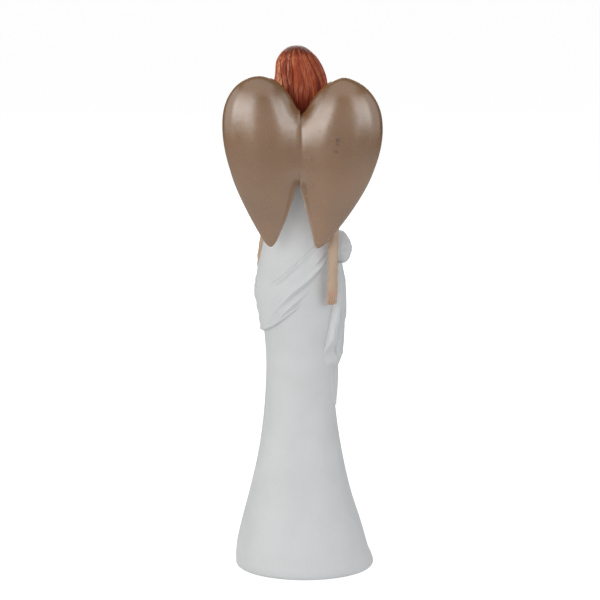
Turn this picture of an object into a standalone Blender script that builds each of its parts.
"""Resin angel figurine: a standing figure in a long gown, with heart-shaped wings pinned to its back.

Metres, +Z up. The figure faces -Y and its left hand is on +X.
The origin is the middle of the face it rests on.
"""

import math

import bmesh
import bpy
import numpy as np
from mathutils import Matrix, Vector

# Driving dimensions
MM = 0.001
HEIGHT = 201.0 * MM
HEAD_TOP = HEIGHT - 2.4 * MM
HEAD_HEIGHT = 22.5 * MM
GOWN_TOP = 158.0 * MM
WING_LENGTH = 65.2 * MM
WING_TIP_Z = 124.6 * MM
GAP = 0.3 * MM
GLUE_GAP = 0.35 * MM

# Gown: (height, centre x, half width, depth to the front, depth to the back), all in mm
GOWN_SECTIONS = (
    (0.3, -1.8, 26.4, 24.9, 24.7),
    (1.3, -1.76, 26.7, 25.1, 24.9),
    (6.0, -0.97, 25.9, 24.4, 24.0),
    (18.0, -0.39, 23.0, 21.8, 21.4),
    (28.0, -0.05, 20.1, 19.2, 18.8),
    (46.8, 0.0, 15.9, 15.2, 14.8),
    (63.4, 0.1, 13.7, 12.9, 12.6),
    (80.0, 0.0, 13.0, 11.4, 11.4),
    (103.0, 0.3, 14.2, 10.6, 11.2),
    (118.0, 0.2, 14.3, 10.4, 10.6),
    (131.0, 0.1, 13.2, 9.6, 9.3),
    (144.0, 0.0, 10.4, 7.8, 7.5),
    (152.0, 0.0, 11.3, 9.4, 7.4),
    (158.0, 0.0, 12.0, 9.0, 7.2),
)
GOWN_SIDES = 44
GOWN_STATIONS = 25
HEM_ROUNDING = 1.0 * MM
HEM_TOP = 4.0 * MM

# Bust: the same columns, from the neckline up to the top of the neck
BUST_SECTIONS = (
    (158.3, 0.0, 12.3, 8.5, 6.9),
    (161.5, 0.0, 13.0, 7.0, 6.4),
    (164.5, 0.0, 12.0, 5.4, 5.6),
    (166.8, 0.0, 8.4, 4.4, 4.9),
    (169.0, 0.0, 4.6, 3.9, 4.2),
    (173.0, 0.0, 3.7, 3.8, 3.8),
    (178.8, 0.0, 3.6, 3.9, 3.7),
)
BUST_SIDES = 28
BUST_STATIONS = 15
SHOULDER_JOINT_X = 12.0 * MM

# Head
HEAD_HALF_WIDTH = 7.6 * MM
HEAD_HALF_DEPTH = 9.2 * MM
HEAD_CENTRE = Vector((0.0, -1.0 * MM, HEAD_TOP - HEAD_HEIGHT / 2))
HEAD_SIDES = 30
HEAD_STATIONS = 19
JAW_TAPER = 0.34
NAPE_TAPER = 0.5
# Soft features: (depth out, x, height from the head's middle, half width, half height), in mm
HEAD_FEATURES = (
    (1.2, 0.0, -1.6, 1.5, 2.3),
    (0.5, 0.0, -5.0, 1.9, 1.0),
    (0.9, 0.0, -8.6, 2.2, 1.7),
    (-0.6, 2.9, 0.8, 1.6, 1.2),
    (-0.6, -2.9, 0.8, 1.6, 1.2),
)
NECK_SOCKET_HEIGHT = 12.0 * MM

# Hair: (height, centre x, half width, front y, back y), in mm
HAIR_SECTIONS = (
    (156.6, -0.6, 2.2, 5.0, 9.0),
    (158.0, -0.6, 4.6, 4.0, 9.6),
    (162.0, -0.6, 7.6, 3.0, 9.9),
    (168.0, -0.5, 9.2, 0.5, 10.0),
    (174.0, -0.4, 10.0, -2.2, 10.2),
    (180.0, -0.3, 10.4, -3.6, 10.4),
    (186.0, -0.2, 10.3, -6.0, 10.4),
    (190.7, 0.3, 9.4, -10.6, 10.3),
    (195.6, 1.0, 8.1, -10.2, 9.6),
    (199.4, 1.4, 5.6, -7.4, 6.8),
    (201.0, 1.4, 2.8, -3.8, 3.6),
)
HAIR_SIDES = 30
HAIR_STATIONS = 25
FACE_OPENING_HALF_WIDTH = 6.7 * MM
FACE_OPENING_LOW = GOWN_TOP - 10.0 * MM
FACE_OPENING_TOP = 194.6 * MM
FACE_OPENING_FRONT_Y = -30.0 * MM
FACE_OPENING_BACK_Y = -2.6 * MM
ARCH_STEPS = 12

# Wings
WING_HALF_WIDTH = 18.9 * MM
WING_INNER_SHARE = 1.2
WING_TIP_X = 6.9 * MM
WING_TOP_X = 17.3 * MM
WING_WIDTH_SHARES = {1: 0.98, -1: 1.03}
WING_PLANE_Y = 15.4 * MM
WING_BACK_BULGE = 11.0 * MM
WING_FRONT_BULGE = 5.6 * MM
WING_ROLL = math.radians(-1.8)
WING_PIVOT = Vector((0.0, 0.0, 158.5 * MM))
WING_SIDES = 26
WING_STATIONS = 17
WING_END_SHARE = 0.35
WIDTH_POWER = 1.1
LEAN_POWER = 0.46
EDGE_POWER = 0.9
TAPER_POWER = 0.8

# Wing pads, where each wing meets the figure: the middle of each pad's face
PAD_RADIUS = 2.6 * MM
PAD_SIDES = 20
LOWER_PAD = Vector((4.3, 7.6, 148.5)) * MM
UPPER_PAD = Vector((5.0, 10.6, 171.0)) * MM

# Dowel pins
PIN_RADIUS = 0.8 * MM
PIN_SIDES = 16
BUST_PIN_DOWN = 7.0 * MM
BUST_PIN_UP = 6.0 * MM
NECK_PIN_DOWN = 7.0 * MM
NECK_PIN_UP = 6.0 * MM
WING_PIN_SPAN = 6.4 * MM
WING_PIN_IN_FIGURE = 3.2 * MM

# Hip wrap: (degrees round from the back towards the left hand, lower edge, upper edge, thickness), in mm
WRAP_EDGES = (
    (-90.0, 114.6, 131.5, 1.5),
    (-45.0, 111.3, 130.6, 1.0),
    (-20.0, 106.8, 126.0, 1.3),
    (8.0, 101.0, 119.4, 1.6),
    (35.0, 96.0, 113.6, 1.8),
    (60.0, 92.6, 111.8, 2.1),
    (90.0, 91.2, 114.0, 2.3),
    (135.0, 94.0, 116.5, 2.0),
    (180.0, 101.0, 120.5, 1.8),
    (225.0, 109.5, 126.8, 1.6),
    (270.0, 114.6, 131.5, 1.5),
)
WRAP_STATIONS = 48
WRAP_ROWS = 6

# Knot on the right hip
KNOT_ANGLE = math.radians(264.0)
KNOT_Z = 124.6 * MM
KNOT_HALF_ANGLE = math.radians(31.0)
KNOT_HALF_HEIGHT = 6.8 * MM
KNOT_BASE = 2.3 * MM
KNOT_DEPTH = 3.9 * MM
KNOT_RINGS = 7
KNOT_SIDES = 22

# Hanging end of the wrap: (height, back edge in degrees, front edge in degrees, thickness), in mm
TAIL_SECTIONS = (
    (64.5, 286.0, 262.0, 0.4),
    (68.0, 292.0, 255.0, 1.0),
    (71.5, 300.0, 248.0, 1.7),
    (72.5, 304.0, 246.0, 1.2),
    (82.6, 321.0, 240.0, 3.5),
    (84.0, 318.0, 242.0, 2.8),
    (97.0, 306.0, 240.0, 3.7),
    (98.5, 303.0, 243.0, 3.2),
    (108.0, 294.0, 248.0, 2.9),
    (112.6, 287.0, 257.0, 2.6),
    (113.6, 280.0, 262.0, 2.2),
)
TAIL_COLUMNS = 9

# Arms: (x out from the middle, y, height, half width, half thickness), in mm
RIGHT_ARM = (
    (14.6, 0.4, 161.6, 3.7, 3.7),
    (15.2, 1.6, 154.0, 3.3, 3.3),
    (14.0, 5.6, 141.5, 2.6, 2.6),
    (12.9, 9.0, 132.5, 2.2, 2.2),
    (12.7, 11.4, 122.0, 2.15, 2.1),
    (12.3, 12.0, 113.0, 1.75, 1.6),
    (11.9, 12.1, 109.0, 2.2, 1.4),
    (11.3, 12.0, 104.8, 1.7, 1.0),
)
LEFT_ARM = (
    (14.6, 0.0, 161.6, 3.7, 3.7),
    (15.3, -0.8, 154.0, 3.3, 3.3),
    (14.4, -3.4, 141.5, 2.6, 2.6),
    (13.7, -7.2, 131.0, 2.3, 2.3),
    (14.7, -10.4, 121.0, 2.1, 2.1),
    (14.2, -12.4, 113.5, 1.75, 1.6),
    (13.3, -13.4, 109.8, 2.2, 1.4),
    (11.6, -14.3, 105.8, 1.7, 1.0),
)
ARM_SIDES = 16
ARM_STATIONS = 15
ROUND_END_STATIONS = 3
ARM_PIN_Z = 161.2 * MM
ARM_PIN_SPAN = 6.0 * MM
ARM_FLAT_LOW_Z = 148.0 * MM

# Felt pad under the hem
FELT_THICKNESS = 1.5 * MM
FELT_HALF_WIDTH = 21.5 * MM
FELT_HALF_DEPTH = 20.5 * MM
FELT_SIDES = 40

# Colours as linear RGB, with roughness and metallic
FINISHES = {
    "white_paint": ((0.72, 0.73, 0.74), 0.55, 0.0),
    "wing_paint": ((0.25, 0.16, 0.10), 0.34, 0.25),
    "hair_paint": ((0.27, 0.055, 0.026), 0.45, 0.0),
    "skin_paint": ((0.60, 0.38, 0.26), 0.5, 0.0),
    "pin_steel": ((0.55, 0.55, 0.56), 0.3, 1.0),
    "felt": ((0.09, 0.10, 0.11), 0.95, 0.0),
}


def clear_scene():
    for old in list(bpy.data.objects):
        bpy.data.objects.remove(old, do_unlink=True)


def new_collection(name):
    collection = bpy.data.collections.new(name)
    bpy.context.scene.collection.children.link(collection)
    return collection


def finish_material(name):
    """The material for one finish, made on its first use."""
    if name in bpy.data.materials:
        return bpy.data.materials[name]
    colour, roughness, metallic = FINISHES[name]
    material = bpy.data.materials.new(name)
    material.use_nodes = True
    shader = material.node_tree.nodes["Principled BSDF"]
    shader.inputs["Base Color"].default_value = (*colour, 1.0)
    shader.inputs["Roughness"].default_value = roughness
    shader.inputs["Metallic"].default_value = metallic
    return material


def smooth_between(stations, places):
    """The values at each place, on a smooth curve through the stations. A station is (place, value, ...)."""
    table = np.array(stations, float)
    at, values = table[:, 0], table[:, 1:]
    places = np.asarray(places, float)
    slopes = np.gradient(values, at, axis=0)
    i = np.clip(np.searchsorted(at, places) - 1, 0, len(at) - 2)
    step = (at[i + 1] - at[i])[:, None]
    t = (places - at[i])[:, None] / step
    start = (2 * t**3 - 3 * t**2 + 1) * values[i] + (t**3 - 2 * t**2 + t) * step * slopes[i]
    end = (3 * t**2 - 2 * t**3) * values[i + 1] + (t**3 - t**2) * step * slopes[i + 1]
    return start + end


def loft(name, rings, collection, finish, joined=False):
    """One closed solid through rings of equal point counts. The end rings are capped, or meet if joined."""
    mesh = bpy.data.meshes.new(name)
    shape = bmesh.new()
    rows = [[shape.verts.new(point) for point in ring] for ring in rings]
    count = len(rows[0])
    pairs = list(zip(rows, rows[1:]))
    if joined:
        pairs.append((rows[-1], rows[0]))
    for below, above in pairs:
        for i in range(count):
            j = (i + 1) % count
            shape.faces.new((below[i], below[j], above[j], above[i]))
    if not joined:
        shape.faces.new(list(reversed(rows[0])))
        shape.faces.new(rows[-1])
    bmesh.ops.recalc_face_normals(shape, faces=shape.faces)
    if shape.calc_volume(signed=True) < 0:
        bmesh.ops.reverse_faces(shape, faces=shape.faces)
    shape.to_mesh(mesh)
    shape.free()
    return add_mesh(name, mesh, collection, finish)


def add_mesh(name, mesh, collection, finish):
    part = bpy.data.objects.new(name, mesh)
    collection.objects.link(part)
    mesh.shade_smooth()
    mesh.set_sharp_from_angle(angle=math.radians(40.0))
    if finish:
        mesh.materials.append(finish_material(finish))
    else:
        part.hide_render = True
        part.display_type = "WIRE"
    return part


def cylinder(name, start, end, radius, collection, finish=None, sides=PIN_SIDES):
    """A solid cylinder between two points."""
    start, end = Vector(start), Vector(end)
    axis = end - start
    mesh = bpy.data.meshes.new(name)
    shape = bmesh.new()
    bmesh.ops.create_cone(
        shape, cap_ends=True, segments=sides, radius1=radius, radius2=radius, depth=axis.length
    )
    turn = axis.to_track_quat("Z", "Y").to_matrix().to_4x4()
    bmesh.ops.transform(shape, matrix=Matrix.Translation((start + end) / 2) @ turn, verts=shape.verts)
    shape.to_mesh(mesh)
    shape.free()
    return add_mesh(name, mesh, collection, finish)


def boolean(part, other, operation="DIFFERENCE"):
    modifier = part.modifiers.new(f"{operation.lower()}_{other.name}", "BOOLEAN")
    modifier.operation = operation
    modifier.object = other


def oval_ring(section, height, sides, offset=0.0):
    """A level ring of a section (centre x, half width, front depth, back depth), grown outward by offset."""
    centre_x, half_width, front, back = section
    ring = []
    for i in range(sides):
        angle = 2 * math.pi * i / sides
        depth = back if math.cos(angle) > 0 else front
        x = centre_x + (half_width + offset) * math.sin(angle)
        ring.append(Vector((x, (depth + offset) * math.cos(angle), height)))
    return ring


def sections_at(table, heights):
    """The sections of a table in mm, read at heights in metres and given in metres."""
    return smooth_between(np.array(table) * MM, heights)


def gown_heights():
    """Ring heights for the gown, from the resting edge of the hem to the neckline."""
    hem = [GAP, GAP + 0.4 * HEM_ROUNDING, GAP + HEM_ROUNDING]
    return hem + list(np.linspace(HEM_TOP, GOWN_TOP, GOWN_STATIONS))


def gown_rings(offset=0.0):
    heights = gown_heights()
    rings = []
    for height, section in zip(heights, sections_at(GOWN_SECTIONS, heights)):
        rise = min(1.0, (height - GAP) / HEM_ROUNDING)
        tuck = HEM_ROUNDING * (1.0 - math.sqrt(1.0 - (1.0 - rise) ** 2))
        rings.append(oval_ring(section, height, GOWN_SIDES, offset - tuck))
    return rings


def on_gown(angle, height, offset):
    """The point at an angle from the back, at a height, and offset outward from the gown."""
    centre_x, half_width, front, back = sections_at(GOWN_SECTIONS, [height])[0]
    depth = back if math.cos(angle) > 0 else front
    x = centre_x + (half_width + offset) * math.sin(angle)
    return Vector((x, (depth + offset) * math.cos(angle), height))


def make_gown(parts, cutters):
    gown = loft("gown", gown_rings(), parts, "white_paint")
    recess = loft("felt_recess", felt_rings(-MM, FELT_THICKNESS + GAP, GAP), cutters, None)
    boolean(gown, recess)
    return gown


def felt_rings(low, high, offset=0.0):
    section = (0.0, FELT_HALF_WIDTH, FELT_HALF_DEPTH, FELT_HALF_DEPTH)
    return [oval_ring(section, height, FELT_SIDES, offset) for height in (low, high)]


def make_felt(parts):
    return loft("base_felt", felt_rings(0.0, FELT_THICKNESS), parts, "felt")


def bust_rings(offset=0.0, clamp=SHOULDER_JOINT_X):
    """The bust's rings, flat at the shoulder joints."""
    low, high = BUST_SECTIONS[0][0] * MM, BUST_SECTIONS[-1][0] * MM
    heights = np.linspace(low, high, BUST_STATIONS)
    rings = []
    for height, section in zip(heights, sections_at(BUST_SECTIONS, heights)):
        ring = oval_ring(section, height, BUST_SIDES, offset)
        rings.append([Vector((min(max(p.x, -clamp), clamp), p.y, p.z)) for p in ring])
    return rings


def head_point(around, down, offset=0.0):
    """A point of the head, at an angle round from the back and an angle down from the crown."""
    side = math.sin(down) * math.sin(around)
    back = math.sin(down) * math.cos(around)
    up = math.cos(down)
    below = max(0.0, -up)
    front = max(0.0, -back)
    nape = NAPE_TAPER if back > 0 else 0.0
    x = (HEAD_HALF_WIDTH * (1.0 - JAW_TAPER * below**2) + offset) * side
    y = (HEAD_HALF_DEPTH * (1.0 - nape * below**2) + offset) * back
    z = (HEAD_HEIGHT / 2 + offset) * up
    for depth, centre_x, centre_z, half_width, half_height in HEAD_FEATURES:
        across = (x / MM - centre_x) / half_width
        along = (z / MM - centre_z) / half_height
        y -= depth * MM * front * math.exp(-(across**2) - along**2)
    return HEAD_CENTRE + Vector((x, y, z))


def head_rings(offset=0.0):
    rings = []
    for j in range(HEAD_STATIONS):
        down = math.pi * (j + 0.5) / HEAD_STATIONS
        turns = [2 * math.pi * i / HEAD_SIDES for i in range(HEAD_SIDES)]
        rings.append([head_point(turn, down, offset) for turn in turns])
    return rings


def make_head(parts, cutters):
    head = loft("head", head_rings(), parts, "skin_paint")
    neck = loft("neck_socket", neck_socket_rings(), cutters, None)
    boolean(head, neck)
    return head


def neck_socket_rings():
    """The room in the head for the top of the neck."""
    section = [value * MM for value in BUST_SECTIONS[-1][1:]]
    top = BUST_SECTIONS[-1][0] * MM + GAP
    return [oval_ring(section, height, BUST_SIDES, 2 * GAP) for height in (top - NECK_SOCKET_HEIGHT, top)]


def hair_rings():
    low, high = HAIR_SECTIONS[0][0] * MM, HAIR_SECTIONS[-1][0] * MM
    heights = np.linspace(low, high, HAIR_STATIONS)
    rings = []
    for height, section in zip(heights, sections_at(HAIR_SECTIONS, heights)):
        centre_x, half_width, front, back = section
        middle = (front + back) / 2
        half_depth = (back - front) / 2
        ring = oval_ring((centre_x, half_width, half_depth, half_depth), height, HAIR_SIDES)
        rings.append([point + Vector((0.0, middle, 0.0)) for point in ring])
    return rings


def face_opening_rings():
    """An arch-shaped cutter that opens the hair over the face and throat."""
    radius = FACE_OPENING_HALF_WIDTH
    arch_z = FACE_OPENING_TOP - radius
    angles = [math.pi * (1.0 - step / ARCH_STEPS) for step in range(ARCH_STEPS + 1)]
    arch = [(radius * math.cos(angle), arch_z + radius * math.sin(angle)) for angle in angles]
    profile = [(-radius, FACE_OPENING_LOW), *arch, (radius, FACE_OPENING_LOW)]
    front = [Vector((x, FACE_OPENING_FRONT_Y, z)) for x, z in profile]
    back = [Vector((x, FACE_OPENING_BACK_Y, z)) for x, z in profile]
    return [front, back]


def make_hair(parts, cutters):
    hair = loft("hair", hair_rings(), parts, "hair_paint")
    clearances = (
        ("head_clearance", head_rings(GLUE_GAP)),
        ("bust_clearance", bust_rings(GLUE_GAP, clamp=2 * SHOULDER_JOINT_X)),
        ("gown_clearance", gown_rings(GLUE_GAP)),
        ("face_opening", face_opening_rings()),
    )
    for name, rings in clearances:
        boolean(hair, loft(name, rings, cutters, None))
    return hair


def wing_rings(side):
    """Level rings of one wing, from its tip to its top. side is 1 for the left wing and -1 for the right."""
    rings = []
    for j in range(WING_STATIONS):
        t = math.pi * (j + WING_END_SHARE) / (WING_STATIONS - 1 + 2 * WING_END_SHARE)
        share = (1 - math.cos(t)) / 2
        half_width = WING_HALF_WIDTH * math.sin(t) ** WIDTH_POWER * math.sin(t / 2)
        axis_x = WING_TIP_X + (WING_TOP_X - WING_TIP_X) * share**LEAN_POWER
        fullness = math.sin(t) ** EDGE_POWER * math.sin(t / 2) ** TAPER_POWER
        height = WING_TIP_Z + WING_LENGTH * share
        ring = []
        for i in range(WING_SIDES):
            angle = 2 * math.pi * i / WING_SIDES
            across = half_width * (1.0 if math.cos(angle) > 0 else WING_INNER_SHARE)
            bulge = WING_BACK_BULGE if math.sin(angle) > 0 else WING_FRONT_BULGE
            x = max(WING_WIDTH_SHARES[side] * (axis_x + across * math.cos(angle)), GAP / 2)
            y = WING_PLANE_Y + bulge * fullness * math.sin(angle)
            ring.append(rolled(Vector((side * x, y, height))))
        rings.append(ring)
    return rings


def rolled(point):
    """The pair of wings sits slightly turned on the back."""
    return Matrix.Rotation(WING_ROLL, 3, "Y") @ (point - WING_PIVOT) + WING_PIVOT


def pad_places(side):
    """(name, point on the pad's face) of one wing's two pads."""
    places = (("lower", LOWER_PAD), ("upper", UPPER_PAD))
    return [(name, rolled(Vector((side * pad.x, pad.y, pad.z)))) for name, pad in places]


def make_wing(word, side, parts, cutters):
    wing = loft(f"{word}_wing", wing_rings(side), parts, "wing_paint")
    for name, face in pad_places(side):
        root = Vector((face.x, WING_PLANE_Y, face.z))
        pad = cylinder(f"{word}_{name}_pad", face, root, PAD_RADIUS, cutters, sides=PAD_SIDES)
        boolean(wing, pad, "UNION")
    return wing


def pin_with_holes(name, start, end, holders, parts, cutters):
    """A dowel pin from start to end, and the hole it takes in each holder."""
    cylinder(name, start, end, PIN_RADIUS, parts, "pin_steel")
    reach = (Vector(end) - Vector(start)).normalized() * GAP
    hole = cylinder(
        f"{name}_hole", Vector(start) - reach, Vector(end) + reach, PIN_RADIUS + GAP, cutters
    )
    for holder in holders:
        boolean(holder, hole)


def arm_rings(path, side):
    """Rings square to an arm's path, round at both ends, with the hand's flat against the body."""
    places = np.linspace(0.0, 1.0, len(path))
    table = [(place, *station) for place, station in zip(places, path)]
    samples = smooth_between(table, np.linspace(0.0, 1.0, ARM_STATIONS)) * MM
    centres = [Vector((side * s[0], s[1], s[2])) for s in samples]
    halves = [(s[3], s[4]) for s in samples]
    tangents = [
        (centres[min(i + 1, len(centres) - 1)] - centres[max(i - 1, 0)]).normalized()
        for i in range(len(centres))
    ]
    rings = []
    for i, (centre, tangent, half) in enumerate(zip(centres, tangents, halves)):
        if i == 0:
            rings += end_rings(centre, tangent, half, -1)
        rings.append(arm_ring(centre, tangent, half))
        if i == len(centres) - 1:
            rings += end_rings(centre, tangent, half, 1)
    return [[flat_at_shoulder(point, side) for point in ring] for ring in rings]


def flat_at_shoulder(point, side):
    """The upper arm is flat where it meets the bust."""
    if point.z < ARM_FLAT_LOW_Z:
        return point
    return Vector((side * max(side * point.x, SHOULDER_JOINT_X + GAP), point.y, point.z))


def arm_ring(centre, tangent, half):
    """An oval square to tangent: wide along the hip's surface and thin through it."""
    outward = Vector((centre.x, centre.y, 0.0)).normalized()
    through = (outward - outward.dot(tangent) * tangent).normalized()
    along = tangent.cross(through)
    turns = [2 * math.pi * i / ARM_SIDES for i in range(ARM_SIDES)]
    return [centre + along * half[0] * math.cos(a) + through * half[1] * math.sin(a) for a in turns]


def end_rings(centre, tangent, half, way):
    """Shrinking rings that round off an arm, before its first ring (way -1) or after its last (way 1)."""
    rings = []
    for j in range(1, ROUND_END_STATIONS + 1):
        angle = math.pi / 2 * j / (ROUND_END_STATIONS + 0.4)
        shrink = math.cos(angle)
        place = centre + tangent * way * half[1] * math.sin(angle)
        rings.append(arm_ring(place, tangent, (half[0] * shrink, half[1] * shrink)))
    return rings if way > 0 else rings[::-1]


def wrap_rings():
    """Upright loops round the hip wrap, one at each station round the body."""
    rings = []
    turns = np.linspace(-90.0, 270.0, WRAP_STATIONS, endpoint=False)
    for turn, (low, high, thickness) in zip(turns, smooth_between(WRAP_EDGES, turns)):
        angle = math.radians(turn)
        rows = np.linspace(0.0, 1.0, WRAP_ROWS)
        outer = [
            on_gown(angle, (low + (high - low) * v) * MM, GLUE_GAP + pillow(v) * thickness * MM) for v in rows
        ]
        inner = [on_gown(angle, (low + (high - low) * v) * MM, GLUE_GAP) for v in rows[::-1]]
        rings.append(outer + inner)
    return rings


def pillow(share):
    """A rounded thickness across a fold: 0.3 at its edges and 1 in its middle."""
    return 0.3 + 0.7 * (1.0 - abs(2.0 * share - 1.0) ** 3)


def knot_rings():
    """A domed rosette over the wrap's crossing, from the middle of its face to the middle of its back."""
    shares = [(j + 0.5) / KNOT_RINGS for j in range(KNOT_RINGS)] + [1.0]
    outer = [knot_ring(share, KNOT_BASE + KNOT_DEPTH * math.sqrt(1.0 - 0.98 * share**2)) for share in shares]
    inner = [knot_ring(share, KNOT_BASE) for share in reversed(shares)]
    return outer + inner


def knot_ring(share, offset):
    ring = []
    for i in range(KNOT_SIDES):
        turn = 2 * math.pi * i / KNOT_SIDES
        angle = KNOT_ANGLE + KNOT_HALF_ANGLE * share * math.cos(turn)
        height = KNOT_Z + KNOT_HALF_HEIGHT * share * math.sin(turn)
        ring.append(on_gown(angle, height, offset))
    return ring


def tail_rings():
    """Level loops down the wrap's hanging end, whose tiers step out and back in."""
    rings = []
    heights = []
    for (low, *_), (high, *_) in zip(TAIL_SECTIONS, TAIL_SECTIONS[1:]):
        heights += [low, (low + high) / 2] if high - low > 4.0 else [low]
    heights.append(TAIL_SECTIONS[-1][0])
    table = np.array(TAIL_SECTIONS)
    for height in heights:
        back, front, thickness = (np.interp(height, table[:, 0], table[:, c]) for c in (1, 2, 3))
        shares = np.linspace(0.0, 1.0, TAIL_COLUMNS)
        turns = [math.radians(back + (front - back) * share) for share in shares]
        outer = [
            on_gown(turn, height * MM, GLUE_GAP + pillow(share) * thickness * MM)
            for turn, share in zip(turns, shares)
        ]
        inner = [on_gown(turn, height * MM, GLUE_GAP) for turn in reversed(turns)]
        rings.append(outer + inner)
    return rings


def make_pins(solids, parts, cutters):
    """Every dowel pin, with its holes in the two pieces that it joins."""
    gown, bust, head, hair = (solids[name] for name in ("gown", "bust", "head", "hair"))
    start, end = (0, 0, GOWN_TOP - BUST_PIN_DOWN), (0, 0, GOWN_TOP + BUST_PIN_UP)
    pin_with_holes("bust_pin", start, end, (gown, bust), parts, cutters)
    neck_top = BUST_SECTIONS[-1][0] * MM
    start, end = (0, 0, neck_top - NECK_PIN_DOWN), (0, 0, neck_top + NECK_PIN_UP)
    pin_with_holes("neck_pin", start, end, (bust, head), parts, cutters)
    for word, side in (("left", 1), ("right", -1)):
        wing, arm = solids[f"{word}_wing"], solids[f"{word}_arm"]
        inner_x = side * (SHOULDER_JOINT_X - ARM_PIN_SPAN / 2)
        outer_x = side * (SHOULDER_JOINT_X + ARM_PIN_SPAN / 2)
        start, end = (inner_x, 0, ARM_PIN_Z), (outer_x, 0, ARM_PIN_Z)
        pin_with_holes(f"{word}_arm_pin", start, end, (bust, arm), parts, cutters)
        for (name, face), holder in zip(pad_places(side), (gown, hair)):
            start = face - Vector((0, WING_PIN_IN_FIGURE, 0))
            end = start + Vector((0, WING_PIN_SPAN, 0))
            pin_with_holes(f"{word}_wing_{name}_pin", start, end, (holder, wing), parts, cutters)


def main():
    clear_scene()
    parts = new_collection("resin_angel_figurine")
    cutters = new_collection("cutters")
    solids = {
        "gown": make_gown(parts, cutters),
        "bust": loft("bust", bust_rings(), parts, "skin_paint"),
        "head": make_head(parts, cutters),
        "hair": make_hair(parts, cutters),
        "left_arm": loft("left_arm", arm_rings(LEFT_ARM, 1), parts, "skin_paint"),
        "right_arm": loft("right_arm", arm_rings(RIGHT_ARM, -1), parts, "skin_paint"),
        "left_wing": make_wing("left", 1, parts, cutters),
        "right_wing": make_wing("right", -1, parts, cutters),
    }
    loft("hip_wrap", wrap_rings(), parts, "white_paint", joined=True)
    loft("wrap_knot", knot_rings(), parts, "white_paint")
    loft("wrap_tail", tail_rings(), parts, "white_paint")
    make_felt(parts)
    make_pins(solids, parts, cutters)


main()
